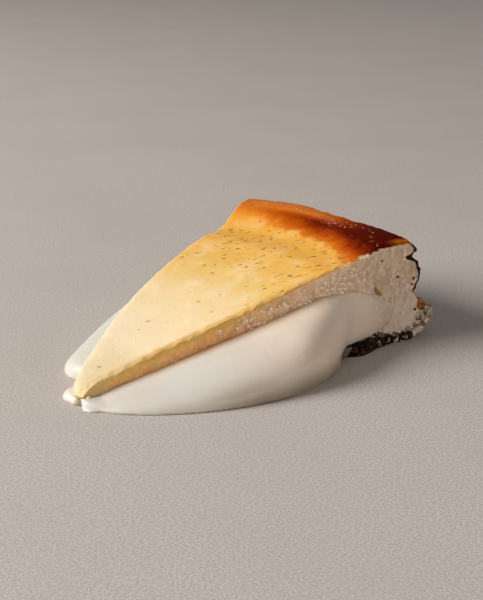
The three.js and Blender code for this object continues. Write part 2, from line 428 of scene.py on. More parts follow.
def run_tree(host, tree, sizes):
    """The plain mesh that a Geometry Nodes tree makes of an object, which keeps its own."""
    modifier = host.modifiers.new(tree.name, "NODES")
    modifier.node_group = tree
    for item in tree.interface.items_tree:
        if item.item_type == "SOCKET" and item.in_out == "INPUT" and item.name in sizes:
            modifier[item.identifier] = sizes[item.name]
    mesh = solid_mesh(host)
    host.modifiers.remove(modifier)
    return mesh


def in_mm(tree):
    """Position in millimetres, for a Geometry Nodes tree."""
    return stretched(tree, tree.nodes.new("GeometryNodeInputPosition").outputs[0], (1 / MM,) * 3)


def layer(tree, name):
    made = add_node(tree, "GeometryNodeInputNamedAttribute", {"Name": name}, data_type="FLOAT")
    return made.outputs[0]


def layers(tree):
    """The stored places, for a Geometry Nodes tree."""
    return {name: layer(tree, name) for name in PLACES}


def store(mesh, name, values):
    held = mesh.attributes.get(name) or mesh.attributes.new(name, "FLOAT", "POINT")
    held.data.foreach_set("value", np.asarray(values, np.float32))


def points_of(mesh):
    co = np.empty(len(mesh.vertices) * 3, np.float32)
    mesh.vertices.foreach_get("co", co)
    return co.reshape(-1, 3) / MM + (*CENTRE, 0.0)


# ---- where a point lies in the cake ----
PLACES = ("from_centre", "across", "under_top", "inside_wall", "inside_cut", "height")


def cake_places(points):
    """Of each point its radius, its share across, how far it is inside each face, and its height."""
    x, y, z = points.T
    sin, cos = math.sin(HALF_ANGLE), math.cos(HALF_ANGLE)
    near = slump(NEAR_SLUMP, np.maximum(x * cos - y * sin, 0)) - (-x * sin - y * cos)
    far = slump(FAR_SLUMP, np.maximum(x * cos + y * sin, 0)) - (-x * sin + y * cos)
    across = np.clip(near / np.maximum(near + far, 0.01), 0, 1)
    r = np.hypot(x, y)
    under_top = top_height(np.minimum(r, RIM_RADIUS), across) - z
    height = np.clip(z / np.maximum(top_height(np.full_like(r, RIM_RADIUS), across), 1), 0, 1)
    inside_wall = wall_radius(height * RIM_HEIGHT, across) - r
    return dict(zip(PLACES, (r, across, under_top, inside_wall, np.minimum(near, far), z)))


def place_points(mesh, points):
    """Puts the mesh's points, keeping them inside the box of the solids."""
    placed = np.clip((points - (*CENTRE, 0.0)) * MM, CAD_BOX[0], CAD_BOX[1]).astype(np.float32)
    mesh.vertices.foreach_set("co", placed.ravel())


def store_places(mesh):
    for name, values in cake_places(points_of(mesh)).items():
        store(mesh, name, values)


def dressed(made, material):
    """The piece, kept inside the solids' box, in its material and shaded smooth."""
    place_points(made.data, points_of(made.data))
    made.data.materials.clear()
    made.data.materials.append(material)
    made.data.shade_smooth()
    return made


# ---- where the top is pitted, the same sum for its relief and its colour ----
PIT_CELL = 1.15
PIT_RADIUS = 0.41
STREAK_TURN = math.radians(45.0)  # streaks run level across the photographed view
PIT_STRETCH = 0.42


def drawn_out(tree, where, stretch):
    """Coordinates in the plan that draw a pattern out the way the skin's streaks run."""
    inputs = {"Vector": where, "Angle": STREAK_TURN}
    turned = add_node(tree, "ShaderNodeVectorRotate", inputs, rotation_type="Z_AXIS")
    return stretched(tree, turned.outputs[0], (stretch, 1.0, 0.0))


def pits(tree, where, from_centre):
    """1 in the middle of each small pit in the skin. They crowd inside the rim and thin out to the tip."""
    flat = drawn_out(tree, where, PIT_STRETCH)
    moved = vector(tree, "MULTIPLY_ADD", noise_vector(tree, flat, 0.6, 1.0), (1.3, 1.3, 0.0), flat)
    found = cells(tree, moved, PIT_CELL)
    chance, size, _ = add_node(tree, "ShaderNodeSeparateXYZ", {0: found["Color"]}).outputs
    crowd = fade(tree, noise(tree, flat, 9.0, 1.0), 0.3, 0.56, 0.4, 1.0)
    share = product(tree, fade(tree, from_centre, 58.0, 82.0, 0.02, 0.95), crowd)
    share = product(tree, share, fade(tree, from_centre, 92.0, 99.0, 1.0, 0.12))
    distance = product(tree, found["Distance"], PIT_CELL)
    radius = fade(tree, size, 0.0, 1.0, 0.55 * PIT_RADIUS, 1.2 * PIT_RADIUS)
    inside = calc(tree, "SUBTRACT", 1.0, calc(tree, "DIVIDE", distance, radius), clamp=True)
    return product(tree, inside, calc(tree, "LESS_THAN", chance, share))


# ---- the curd's grains, the same sum for their relief and their colour, partly painted highlight and shade ----
GRAIN = 1.55


def grains(tree, where):
    """1 in the middle of each round grain of curd, 0 in the pores between them."""
    bent = noise_vector(tree, where, 0.8, 2.0)
    moved = vector(tree, "MULTIPLY_ADD", bent, (2.6,) * 3, stretched(tree, where, (1.0, 1.0, 0.72)))
    found = cells(tree, moved, GRAIN, feature="SMOOTH_F1", Smoothness=0.4)
    round_grain = fade(tree, found["Distance"], 0.12, 0.62, 1.0, 0.0)
    fine = noise(tree, moved, 0.8, 2.0, 0.6)
    return total(tree, product(tree, round_grain, 0.62), product(tree, fine, 0.38))


def shows_grains(tree, where, place):
    """How clearly the grains show: most inside the rim, least at the tip and low on the rim's end."""
    patches = fade(tree, noise(tree, where, 8.0, 2.0), 0.3, 0.65, 0.45, 1.0)
    shown = product(tree, fade(tree, place["from_centre"], 20.0, 62.0, 0.4, 1.0), patches)
    curtain = shares(tree, place, [("from_centre", 96.0, 102.0), ("height", 13.0, 20.0, 0.75, 0.0)])
    return product(tree, shown, inverse(tree, curtain))


# ---- relief on the baked shell ----
RELIEF_SIZES = dict(
    skin_swell=0.7, skin_grain=0.16, pit_depth=0.15, rim_wrinkle=0.5,
    curd_swell=0.9, grain_height=0.85, pore_depth=0.6, striation=0.9, edge_radius=2.3,
    wall_wrinkle=1.1, crumble=1.3,
)


def relief_tree(material):
    """Raises the skin, the torn curd, the wall and the crumbling base of the baked shell."""
    tree, sizes, end = new_tree("baked_relief", RELIEF_SIZES)
    where = in_mm(tree)
    place = layers(tree)
    from_centre, height = place["from_centre"], place["height"]
    top, cut, wall = (layer(tree, name) for name in ("on_top", "on_cut", "on_wall"))
    cut_or_wall = calc(tree, "MAXIMUM", cut, wall)
    base = fade(tree, height, 1.0, 4.2, 1.0, 0.0)

    near_rim = fade(tree, from_centre, 88.0, 104.0)
    swelling_skin = ruffle(tree, where, 24.0, 2.0, 0.5, sizes["skin_swell"], top)
    grain = ruffle(tree, where, 2.6, 3.0, 0.5, sizes["skin_grain"], top)
    pitted = product(tree, pits(tree, where, from_centre), sizes["pit_depth"], top, -1.0)
    wrinkle = ruffle(tree, where, 5.5, 3.0, 0.5, sizes["rim_wrinkle"], top, near_rim)

    curd = product(tree, cut, inverse(tree, product(tree, base, 0.5)))
    to_striations = fade(tree, from_centre, 90.0, 108.0)
    lump = product(tree, centred(tree, grains(tree, where)), sizes["grain_height"], curd)
    lump = product(tree, lump, shows_grains(tree, where, place))
    swelling_curd = ruffle(tree, where, 9.0, 2.0, 0.5, sizes["curd_swell"], curd)
    holes = fade(tree, cells(tree, where, 4.3)["Distance"], 0.05, 0.2, 1.0, 0.0)
    hole = product(tree, holes, sizes["pore_depth"], curd, -1.0)
    tall = stretched(tree, where, (1.0, 1.0, 0.24))
    streak = ruffle(tree, tall, 1.25, 2.5, 0.6, sizes["striation"], curd, to_striations)

    upright = stretched(tree, where, (1.0, 1.0, 0.45))
    fold = ruffle(tree, upright, 4.6, 3.5, 0.6, sizes["wall_wrinkle"], wall)
    crumble = ruffle(tree, where, 1.7, 3.0, 0.65, sizes["crumble"], base, cut_or_wall)

    # The top's edge rolls over the cuts.
    to_cut = calc(tree, "DIVIDE", place["inside_cut"], sizes["edge_radius"])
    to_top = calc(tree, "DIVIDE", place["under_top"], product(tree, sizes["edge_radius"], 1.6))
    beyond = add_node(tree, "ShaderNodeMix", {0: top, 2: to_top, 3: to_cut}).outputs[0]
    close = calc(tree, "POWER", inverse(tree, calc(tree, "MINIMUM", beyond, 1.0)), 2.0)
    scallop = fade(tree, noise(tree, where, 4.2, 1.0), 0.35, 0.65, 0.12, 0.5)
    near_side = fade(tree, place["across"], 0.5, 0.7, 1.0, 0.2)
    edge = calc(tree, "MAXIMUM", top, cut)
    rolled = product(tree, close, scallop, sizes["edge_radius"], edge, near_side, -MM)

    on_skin = (swelling_skin, grain, pitted, wrinkle)
    rise = total(tree, *on_skin, lump, swelling_curd, hole, streak, fold, crumble)
    normal = tree.nodes.new("GeometryNodeInputNormal").outputs[0]
    raised = vector(tree, "SCALE", normal, Scale=product(tree, rise, MM))
    offset = vector(tree, "ADD", raised, upwards(tree, rolled))
    off_floor = calc(tree, "GREATER_THAN", height, 0.01)
    inputs = {"Geometry": sizes["Geometry"], "Selection": off_floor, "Offset": offset}
    moved = add_node(tree, "GeometryNodeSetPosition", inputs)
    end_tree(tree, end, moved.outputs[0], material)
    return tree


# ---- the baked part ----
CUT_AT_TOP = 0.3  # how much of the curd's relief the cuts keep along their upper edge


def baked_shell():
    """The baked part's outside, closed, before the molten centre is taken out of it."""
    count = SHELL_CELLS
    sides = (WALL_SIDE, TOP_SIDE, NEAR_SIDE, FAR_SIDE)
    ids, u, h, v = box_ids(count["along"], count["up"], count["across"], sides)
    z = h * top_height(lerp(TIP_START, RIM_RADIUS, u), v)
    reach = np.where(h == 1, RIM_RADIUS, wall_radius(h * RIM_HEIGHT, v))
    r = lerp(TIP_START, reach, u)
    lip = BASE_LIP["out"] * bell(r, BASE_LIP["radius"], BASE_LIP["width"])
    out = np.where(v == 0, lip * (1 - smoothstep(z, 0, BASE_LIP["height"])), 0)
    x, y = plan(r, v, out)
    faces = quads(ids[WALL_SIDE]) + quads(ids[TOP_SIDE], True)
    faces += quads(ids[NEAR_SIDE], True) + quads(ids[FAR_SIDE])
    tip = [*ids[0, :, 0], *ids[0, -1, 1:], *ids[0, -2::-1, -1]]
    base = [*ids[:, 0, 0], *ids[-1, 0, 1:], *ids[-2::-1, 0, -1]]
    shell = mesh_object("cake_wedge", np.stack([x, y, z], -1), faces + [tip, base])
    store(shell.data, "on_top", np.where(h == 1, 1.0, 0.0))
    on_cut = np.where((v == 0) | (v == 1), 1.0, 0.0)
    store(shell.data, "on_cut", on_cut * np.where(h == 1, CUT_AT_TOP, 1.0))
    store(shell.data, "on_wall", np.where(u == 1, 1.0, 0.0))
    store_places(shell.data)
    made = bmesh.new()
    made.from_mesh(shell.data)
    wide = [face for face in made.faces if len(face.verts) > 4]
    bmesh.ops.triangulate(made, faces=wide)
    bmesh.ops.recalc_face_normals(made, faces=made.faces)
    made.to_mesh(shell.data)
    made.free()
    return shell


def bank(name, pool, across, cells_along, cells_up, grow):
    """What has run out over one cut side, down to the ground."""
    start = pool["centre"] - pool["to_tip"]

    def place(u, h, v):
        s = lerp(start - grow, FILM["end"] + grow, u)
        low, high = bank_lines(s, np.full_like(s, across))
        round_here = roundness(s)
        turn = h * np.pi / 2
        stands = np.maximum(np.cos(turn), 0) ** (2 / round_here)
        sinks = FILM_SINKS * smoothstep(s, FILM["lifted"], FILM["start"]) * (1 - stands)
        leans = POOL_LEANS["by"] * (POOL_LEANS["level"] - h)
        leaning = s + leans * smoothstep(s, POOL_LEANS["start"], POOL_LEANS["end"])
        outside = (bank_width(leaning, pool) + grow) * stands - sinks
        z = lerp(low - grow, high + grow, np.sin(turn) ** (2 / round_here))
        share = 1 - v if across == 0 else v
        out = lerp(-BANK_ROOT - grow, np.maximum(outside, -BANK_ROOT + LEAST_BANK), share)
        x, y = plan(s, np.full_like(s, across), out)
        return x, y, z

    return closed_box(name, cells_along, cells_up, 2, place)


def core(grow):
    def place(u, h, v):
        r = lerp(CORE["start"] - grow, CORE["end"] + grow - CORE["lean"] * h**2, u)
        across = lerp(CORE["margin"], 1 - CORE["margin"], v)
        high = np.minimum(skin_under(r, across), HOLLOW_TOP) + grow
        x, y = plan(r, across)
        return x, y, lerp(BASE_CRUST - grow, high, h)

    return closed_box("core", CORE_CELLS["along"], CORE_CELLS["up"], CORE_CELLS["across"], place)


def mound(name, lobe, grow):
    """A low round lump on the ground."""
    across = 0.0 if lobe["side"] == "near" else 1.0
    x, y = plan(np.array(lobe["along"]), np.array(across), np.array(lobe["out"]))
    points, faces = ball_mesh(*MOUND_CELLS)
    radius, height = lobe["radius"] + grow, lobe["height"] + grow
    points = points * (radius, radius, height)
    points[:, 2] = np.maximum(points[:, 2], -grow)
    return mesh_object(name, points + (float(x), float(y), 0.0), faces)


def molten_solid(name, count, grow):
    made = bank(name, NEAR_POOL, 0, count["along"], count["up"], grow)
    others = [bank("far_bank", FAR_POOL, 1, count["along"], count["up"], grow), core(grow)]
    others += [mound("mound", lobe, grow) for lobe in (TIP_LOBE, TIP_DRIP, TIP_SKIRT, TOE)]
    for other in others:
        join_or_cut(made, other, "UNION")
    return made


def molten_centre(material):
    """The soft custard: the joined forms, melted into each other."""
    made = molten_solid("custard_pool", BANK_CELLS, 0.0)
    remesh = made.modifiers.new("melt", "REMESH")
    remesh.mode = "VOXEL"
    remesh.voxel_size = CUSTARD_VOXEL * MM
    smooth = made.modifiers.new("settle", "SMOOTH")
    smooth.factor = 0.5
    smooth.iterations = CUSTARD_SMOOTHING
    settle(made)
    dressed(made, material)
    store_places(made.data)
    return made


def baked_cake(material):
    shell = baked_shell()
    shell.data = run_tree(shell, relief_tree(material), RELIEF_SIZES)
    join_or_cut(shell, molten_solid("hollow", CUTTER_CELLS, -CUTTER_INSET), "DIFFERENCE")
    dressed(shell, material)
    store_places(shell.data)
    return shell


# ---- small pieces scattered over the baked part ----
LUMP_KINDS = 3
SCATTER_SIZES = ("per_square_cm", "smallest", "largest", "flatness", "sinks", "seed")
SQUARE_CM = 10000.0  # in a square metre
MORE_ARE_SMALL = 1.7


def lump_shape(tree, kind, bumpiness):
    """A small lumpy shape, one unit across, different for each kind."""
    ball = add_node(tree, "GeometryNodeMeshIcoSphere", {"Radius": 0.5, "Subdivisions": 2}).outputs["Mesh"]
    here = tree.nodes.new("GeometryNodeInputPosition").outputs[0]
    shifted = vector(tree, "ADD", here, (7.0 * kind, 3.0, 1.0))
    rough = vector(tree, "SUBTRACT", noise_vector(tree, shifted, 2.6, 2.0), (0.5, 0.5, 0.5))
    offset = vector(tree, "SCALE", rough, Scale=bumpiness)
    return add_node(tree, "GeometryNodeSetPosition", {"Geometry": ball, "Offset": offset}).outputs[0]


def chance(tree, seed, high=1.0):
    """A random value for each point, from 0 to high."""
    inputs = {3: high, "Seed": seed}
    return add_node(tree, "FunctionNodeRandomValue", inputs, data_type="FLOAT").outputs[1]


def scatter_tree(name, thickness, bumpiness, material):
    """Lumps strewn over a surface, where thickness is above 0, in a piece of their own."""
    tree, sizes, end = new_tree(name, SCATTER_SIZES)
    per_square_metre = product(tree, sizes["per_square_cm"], SQUARE_CM)
    strewn = add_node(
        tree,
        "GeometryNodeDistributePointsOnFaces",
        {
            "Mesh": sizes["Geometry"],
            "Density": product(tree, per_square_metre, thickness(tree, layers(tree))),
            "Seed": sizes["seed"],
        },
        distribute_method="RANDOM",
    ).outputs
    kinds = tree.nodes.new("GeometryNodeGeometryToInstance")
    for kind in range(LUMP_KINDS):
        tree.links.new(lump_shape(tree, kind, bumpiness), kinds.inputs[0])
    inputs = {4: 0, 5: LUMP_KINDS - 1, "Seed": 9}
    kind_here = add_node(tree, "FunctionNodeRandomValue", inputs, data_type="INT").outputs[2]
    skewed = calc(tree, "POWER", chance(tree, 3), MORE_ARE_SMALL)
    across = fade(tree, skewed, 0.0, 1.0, sizes["smallest"], sizes["largest"], smooth=False)
    size = product(tree, across, MM)
    flat = product(tree, size, sizes["flatness"])
    inputs = {0: strewn["Rotation"], 1: upwards(tree, chance(tree, 5, math.tau))}
    turned = add_node(tree, "FunctionNodeRotateRotation", inputs, rotation_space="LOCAL").outputs[0]
    placed = add_node(
        tree,
        "GeometryNodeInstanceOnPoints",
        {
            "Points": strewn["Points"],
            "Instance": kinds.outputs[0],
            "Pick Instance": True,
            "Instance Index": kind_here,
            "Rotation": turned,
            "Scale": add_node(tree, "ShaderNodeCombineXYZ", {0: size, 1: size, 2: flat}).outputs[0],
        },
    ).outputs[0]
    lowered = upwards(tree, product(tree, flat, sizes["sinks"], -1.0))
    inputs = {"Instances": placed, "Translation": lowered, "Local Space": True}
    sunk = add_node(tree, "GeometryNodeTranslateInstances", inputs).outputs[0]
    toned = add_node(
        tree,
        "GeometryNodeStoreNamedAttribute",
        {"Geometry": sunk, "Name": "tone", "Value": chance(tree, 11)},
        data_type="FLOAT",
        domain="INSTANCE",
    ).outputs[0]
    end_tree(tree, end, toned, material)
    return tree


def scatter(name, host, thickness, bumpiness, material, flatness=0.9, sinks=0.0, **sizes):
    """A piece of small lumps lying on the host's surface."""
    tree = scatter_tree(name, thickness, bumpiness, material)
    mesh = run_tree(host, tree, dict(sizes, flatness=flatness, sinks=sinks))
    mesh.name = name
    piece = bpy.data.objects.new(name, mesh)
    bpy.context.scene.collection.objects.link(piece)
    return dressed(piece, material)


def on_near_cut(tree, place, outermost=1.2):
    """1 on the near cut face, away from the pool."""
    cut = fade(tree, place["inside_cut"], outermost, outermost + 0.2, 1.0, 0.0)
    return product(tree, cut, calc(tree, "LESS_THAN", place["across"], 0.2))


def base_crumb_places(tree, place):
    """Along the foot, on the cuts past the pools and all round the wall."""
    low = fade(tree, place["height"], 2.6, 4.4, 1.0, 0.0)
    off_floor = calc(tree, "GREATER_THAN", place["height"], 0.25)
    past_pool = fade(tree, place["from_centre"], 89.0, 94.0)
    outside = calc(tree, "MINIMUM", place["inside_cut"], place["inside_wall"])
    return product(tree, low, off_floor, past_pool, calc(tree, "LESS_THAN", outside, 1.6))


def torn_crumb_places(tree, place):
    """Pale crumbs low on the near cut's foot, under and over the dark ones."""
    steps = [("height", 0.2, 0.4), ("height", 1.4, 4.6, 1.0, 0.0), ("from_centre", 96.0, 108.0)]
    return product(tree, shares(tree, place, steps), on_near_cut(tree, place, 2.0))


def at_foot_corner(tree, place, lowest, highest):
    """On the near corner of the wall's foot, between two heights."""
    ends = [("height", lowest, lowest + 1.2), ("height", highest - 1.2, highest, 1.0, 0.0)]
    corner = calc(tree, "LESS_THAN", place["across"], 0.12)
    on_wall = fade(tree, place["from_centre"], 118.3, 119.8)
    return product(tree, shares(tree, place, ends), corner, on_wall)


def foot_crumb_places(tree, place):
    return at_foot_corner(tree, place, 1.5, 10.5)


def foot_crust_places(tree, place):
    return at_foot_corner(tree, place, 10.0, 14.0)


def glint_places(tree, place):
    """On the burnt crest: one patch in the middle and a few drops towards the near cut."""
    patch = shares(tree, place, [
        ("from_centre", 105.5, 107.5), ("from_centre", 110.5, 112.0, 1.0, 0.0),
        ("across", 0.3, 0.36), ("across", 0.5, 0.56, 1.0, 0.0),
    ])
    strewn = shares(tree, place, [("from_centre", 98.0, 103.0, 0.0, 0.04), ("across", 0.4, 0.6, 1.0, 0.1)])
    skin = calc(tree, "LESS_THAN", place["under_top"], 0.3)
    return product(tree, skin, calc(tree, "MAXIMUM", patch, strewn))


def bead_places(tree, place):
    """In the band of curd under the skin and on over the near cut, in patches."""
    band = shares(tree, place, [("under_top", 1.8, 3.6), ("under_top", 7.0, 10.0, 1.0, 0.1)])
    ends = [("from_centre", 40.0, 64.0, 0.12, 1.0), ("from_centre", 88.0, 100.0, 1.0, 0.05)]
    patches = fade(tree, noise(tree, in_mm(tree), 4.0, 1.0), 0.36, 0.56)
    return product(tree, on_near_cut(tree, place), band, shares(tree, place, ends), patches)


PEARLS = (dict(at=(-0.5, 0.2, 1.6), radius=0.95), dict(at=(2.4, -2.1, 2.0), radius=0.85))
FLECK = dict(start=(101.9, 20.4), end=(104.7, 17.2), half_width=0.6, half_thickness=0.35, out=0.5, bend=0.5)
FLAP = dict(start=(85.0, 0.9), end=(91.0, 3.2), half_width=1.3, half_thickness=0.8, out=5.2, bend=0.5)


def tip_pearls(material):
    """Two drops of custard that have set on the slice's tip."""
    points, faces = ball_mesh(24, 16)
    all_points, all_faces = [], []
    for pearl in PEARLS:
        shift = sum(len(one) for one in all_points)
        all_points.append(points * pearl["radius"] + pearl["at"])
        all_faces += [[corner + shift for corner in face] for face in faces]
    return dressed(mesh_object("tip_pearls", np.concatenate(all_points), all_faces), material)


def flake(name, place, material):
    """A bent flake stuck to the near cut."""
    points, faces = ball_mesh(20, 24)
    along, wide, thick = points[:, 2], points[:, 0], points[:, 1]
    start, end = np.array(place["start"]), np.array(place["end"])
    middle, half = (start + end) / 2, (end - start) / 2
    aside = np.array([-half[1], half[0]]) / np.linalg.norm(half)
    ragged = 1 + 0.25 * np.sin(5 * along + 1) + 0.12 * np.sin(11 * along)
    offset = place["half_width"] * wide * ragged + place["bend"] * along**2
    s = middle[0] + half[0] * along + aside[0] * offset
    z = np.maximum(middle[1] + half[1] * along + aside[1] * offset, 0)
    x, y = plan(s, np.zeros_like(s), place["out"] + place["half_thickness"] * thick)
    made = mesh_object(name, np.stack([x, y, z], -1), faces)
    point_outwards(made)
    store(made.data, "tone", np.full(len(made.data.vertices), 0.5))
    return dressed(made, material)


# ---- materials ----
def srgb(red, green, blue):
    """A colour as it is seen, from 0 to 255, as the linear values that a shader takes."""
    seen = np.array([red, green, blue]) / 255
    linear = np.where(seen <= 0.04045, seen / 12.92, ((seen + 0.055) / 1.055) ** 2.4)
    return (*linear.tolist(), 1.0)


def new_material(name, fixed):
    """A material, its tree and its shader, with what is the same all over it set on the shader's sockets."""
    made = bpy.data.materials.new(name)
    made.use_nodes = True
    shader = made.node_tree.nodes["Principled BSDF"]
    for socket, value in fixed.items():
        shader.inputs[socket].default_value = value
    return made, made.node_tree, shader


def object_mm(tree):
    return stretched(tree, tree.nodes.new("ShaderNodeTexCoord").outputs["Object"], (1 / MM,) * 3)


def attribute(tree, name):
    return add_node(tree, "ShaderNodeAttribute", attribute_name=name).outputs["Fac"]


def attributes(tree):
    """The stored places, for a material."""
    return {name: attribute(tree, name) for name in PLACES}


def ramp(tree, factor, stops):
    """Colours at places from 0 to 1."""
    made = add_node(tree, "ShaderNodeValToRGB", {0: factor})
    band = made.color_ramp
    while len(band.elements) < len(stops):
        band.elements.new(1.0)
    for element, (place, colour) in zip(band.elements, stops):
        element.position = place
        element.color = colour
    return made.outputs[0]


def paint(tree, share, under, over):
    return add_node(tree, "ShaderNodeMix", {0: share, 6: under, 7: over}, data_type="RGBA").outputs[2]


def coats(tree, colour, values, table):
    """Paints colours over each other. A row has a colour, or its name in values, and then its shares."""
    for over, *steps in table:
        over = values[over] if isinstance(over, str) else over
        colour = paint(tree, shares(tree, values, steps), colour, over)
    return colour


def bump(tree, height, distance, strength):
    inputs = {"Height": height, "Distance": distance * MM, "Strength": strength}
    return add_node(tree, "ShaderNodeBump", inputs).outputs[0]


SKIN_STOPS = (  # by radius over TIN_RADIUS: pale at the tip, amber inside the rim
    # the first stop is darker: painted shade where the tip droops away from the light
    (0.05, srgb(218, 200, 158)),
    (0.12, srgb(230, 210, 168)),
    (0.20, srgb(240, 219, 180)),
    (0.33, srgb(240, 216, 170)),
    (0.43, srgb(239, 209, 156)),
    (0.53, srgb(233, 196, 120)),
    (0.61, srgb(230, 184, 94)),
    (0.68, srgb(236, 184, 92)),
    (0.73, srgb(228, 168, 72)),
    # a lighter stop: painted highlight where the rim's inner slope catches the light
    (0.80, srgb(236, 178, 74)),
    (0.85, srgb(230, 154, 44)),
    (0.90, srgb(216, 108, 8)),
    (1.00, srgb(198, 90, 2)),
)
SKIN_COATS = (  # yellow spots, pale clouds, the pale far side, warm streaks, the golden near edge (partly painted shade), sugar
    (srgb(216, 178, 60), ("spot", 0.05, 0.19, 0.75, 0.0), ("from_centre", 34.0, 52.0),
     ("from_centre", 74.0, 84.0, 1.0, 0.0)),
    (srgb(250, 232, 196), ("pale", 0.45, 0.72, 0.0, 0.5), ("from_centre", 60.0, 92.0, 1.0, 0.3)),
    (srgb(242, 228, 200), ("across", 0.45, 1.0, 0.0, 0.6), ("from_centre", 20.0, 64.0, 1.0, 0.0)),
    (srgb(224, 166, 62), ("warm", 0.5, 0.75, 0.0, 0.5), ("from_centre", 44.0, 80.0)),
    # the golden near edge: partly its colour, partly painted shade where the edge rolls away from the light
    (srgb(221, 178, 98), ("ragged_from_cut", 0.5, 2.6, 0.9, 0.0), "near_side",
     ("from_centre", 70.0, 90.0, 1.0, 0.0), ("from_centre", 8.0, 26.0, 0.4, 1.0)),
    (srgb(250, 190, 84), ("sugar", 0.5, 0.66, 0.0, 0.3), ("from_centre", 76.0, 92.0)),
)
BURN_STOPS = (  # by how burnt it is
    (0.00, srgb(226, 132, 22)),
    (0.35, srgb(188, 86, 8)),
    (0.68, srgb(140, 46, 5)),
    (1.00, srgb(72, 5, 0)),
)
BURN_START = (95.9, 104.3)  # near cut, far cut
BURN_SOFTNESS = 6.7
BURN_ACROSS = ((0.0, 1.0), (0.5, 0.92), (0.65, 0.62), (0.8, 0.4), (1.0, 0.14))  # share across, how burnt
BURN_CLEARS = (("from_centre", 105.0, 110.5), ("across", 0.22, 0.66))  # it thins out over the far crest
AT_CORNER = (("from_centre", 106.0, 113.0), ("inside_cut", 0.8, 3.6, 0.75, 0.0))
PITS_SHOW = 1.6
CURD_DEPTH = 12.0
CURD_STOPS = (  # by depth under the top, over CURD_DEPTH
    (0.00, srgb(244, 208, 108)),
    (0.13, srgb(238, 200, 92)),
    (0.24, srgb(255, 204, 130)),
    (0.42, srgb(252, 192, 128)),
    (1.00, srgb(236, 184, 140)),
)
# paler curd in the band over the pool: partly its tone, partly painted bounce light from the pool
CURD_TONE_AND_POOL_BOUNCE = srgb(255, 224, 188)
CURD_AT_RIM = srgb(224, 200, 176)
CURD_LOW_AT_RIM = srgb(224, 206, 188)
CREAM_EDGE = srgb(246, 222, 180)
WALL_CRUST = srgb(34, 17, 11)
WALL_WORN = srgb(128, 74, 38)
BASE_DARK = srgb(24, 17, 13)
CORNER_AMBER = srgb(200, 102, 20)
SPECK = srgb(150, 98, 18)
# pore colours: partly the curd's tone, partly painted shade in the pores between grains
PORE_TONE_AND_SHADE = srgb(168, 118, 78)
PORE_TONE_AND_SHADE_AT_RIM = srgb(160, 126, 98)
# grain-top colour: partly the curd's tone, partly painted highlight on the grains
GRAIN_TOP_TONE_AND_HIGHLIGHT = srgb(250, 228, 210)
HOLES = (  # in the near cut, drawn only as dark spots of painted shade: radius, height, size
    (104.6, 29.2, 0.55),
    (111.1, 22.8, 0.6),
    (117.3, 21.4, 0.8),
    (116.8, 19.4, 0.55),
)
HOLE_SHADE = srgb(70, 40, 26)
CURD_COATS = (  # by radius (paler mid-band, partly painted bounce light), paler at the far side of the tip, then mottled, grained (painted shade in the pores, painted highlight on the grain tops) and drawn into columns
    (CURD_TONE_AND_POOL_BOUNCE, ("from_centre", 40.0, 82.0)),
    ("at_rim", ("from_centre", 84.0, 102.0)),
    (srgb(242, 224, 184), ("across", 0.4, 0.7), ("from_centre", 10.0, 34.0, 1.0, 0.0)),
    (srgb(222, 196, 140), ("from_centre", 4.0, 12.0, 0.8, 0.0), "near_side"),
    (srgb(186, 140, 98), ("mottle", 0.4, 0.7, 0.0, 0.14)),
    # painted shade in the pores between the grains and painted highlight on their tops, over the curd's own
    # tone
    ("pore_tone_and_shade", ("grainy", 0.12, 0.42, 0.42, 0.0), "shown"),
    (GRAIN_TOP_TONE_AND_HIGHLIGHT, ("grainy", 0.5, 0.8, 0.0, 0.55), "shown"),
    ("pore_tone_and_shade", ("columns", 0.5, 0.7, 0.0, 0.45), ("from_centre", 92.0, 106.0)),
    (GRAIN_TOP_TONE_AND_HIGHLIGHT, ("columns", 0.28, 0.44, 0.45, 0.0), ("from_centre", 92.0, 106.0)),
    (CREAM_EDGE, ("under_top", 0.8, 2.4, 0.75, 0.0), ("from_centre", 84.0, 98.0)),
)
CREASE_HEIGHT = 28.8
WORN_HEIGHT = 14.0


def skin_colours(tree, where, place):
    """The skin's colour by radius, with cloudy edges, and how burnt it is."""
    across = place["across"]
    cloud = ruffle(tree, where, 14.0, 4.0, 0.6, 11.0)
    streaky = ruffle(tree, drawn_out(tree, where, 0.5), 3.4, 4.0, 0.6, 3.0)
    blotchy = ruffle(tree, where, 4.5, 4.0, 0.6, 5.0)
    ragged = total(tree, place["from_centre"], cloud, streaky, blotchy)
    values = dict(
        place,
        spot=cells(tree, stretched(tree, where, (1.0, 1.0, 0.0)), 6.5)["Distance"],
        pale=noise(tree, where, 10.0, 4.0, 0.62),
        warm=noise(tree, stretched(tree, where, (1.0, 0.6, 1.0)), 5.0, 4.0, 0.65),
        ragged_from_cut=total(tree, place["inside_cut"], ruffle(tree, where, 2.0, 2.0, 0.6, 3.0)),
        sugar=noise(tree, where, 0.8, 2.0, 0.7),
    )
    skin = ramp(tree, calc(tree, "DIVIDE", ragged, TIN_RADIUS), SKIN_STOPS)
    skin = coats(tree, skin, values, SKIN_COATS)

    # The burnt band inside the crest, strongest towards the near cut.
    start = fade(tree, across, 0.0, 1.0, *BURN_START, smooth=False)
    inner = fade(tree, calc(tree, "SUBTRACT", ragged, start), -BURN_SOFTNESS, BURN_SOFTNESS)
    strength = ramp(tree, across, [(at, (value, value, value, 1.0)) for at, value in BURN_ACROSS])
    burnt = product(tree, inner, strength, inverse(tree, shares(tree, place, BURN_CLEARS)))
    skin = paint(tree, fade(tree, burnt, 0.0, 0.2), skin, ramp(tree, burnt, BURN_STOPS))
    skin = paint(tree, shares(tree, place, AT_CORNER), skin, CORNER_AMBER)
    pitted = calc(tree, "MULTIPLY", pits(tree, where, place["from_centre"]), PITS_SHOW, clamp=True)
    return paint(tree, pitted, skin, SPECK), burnt


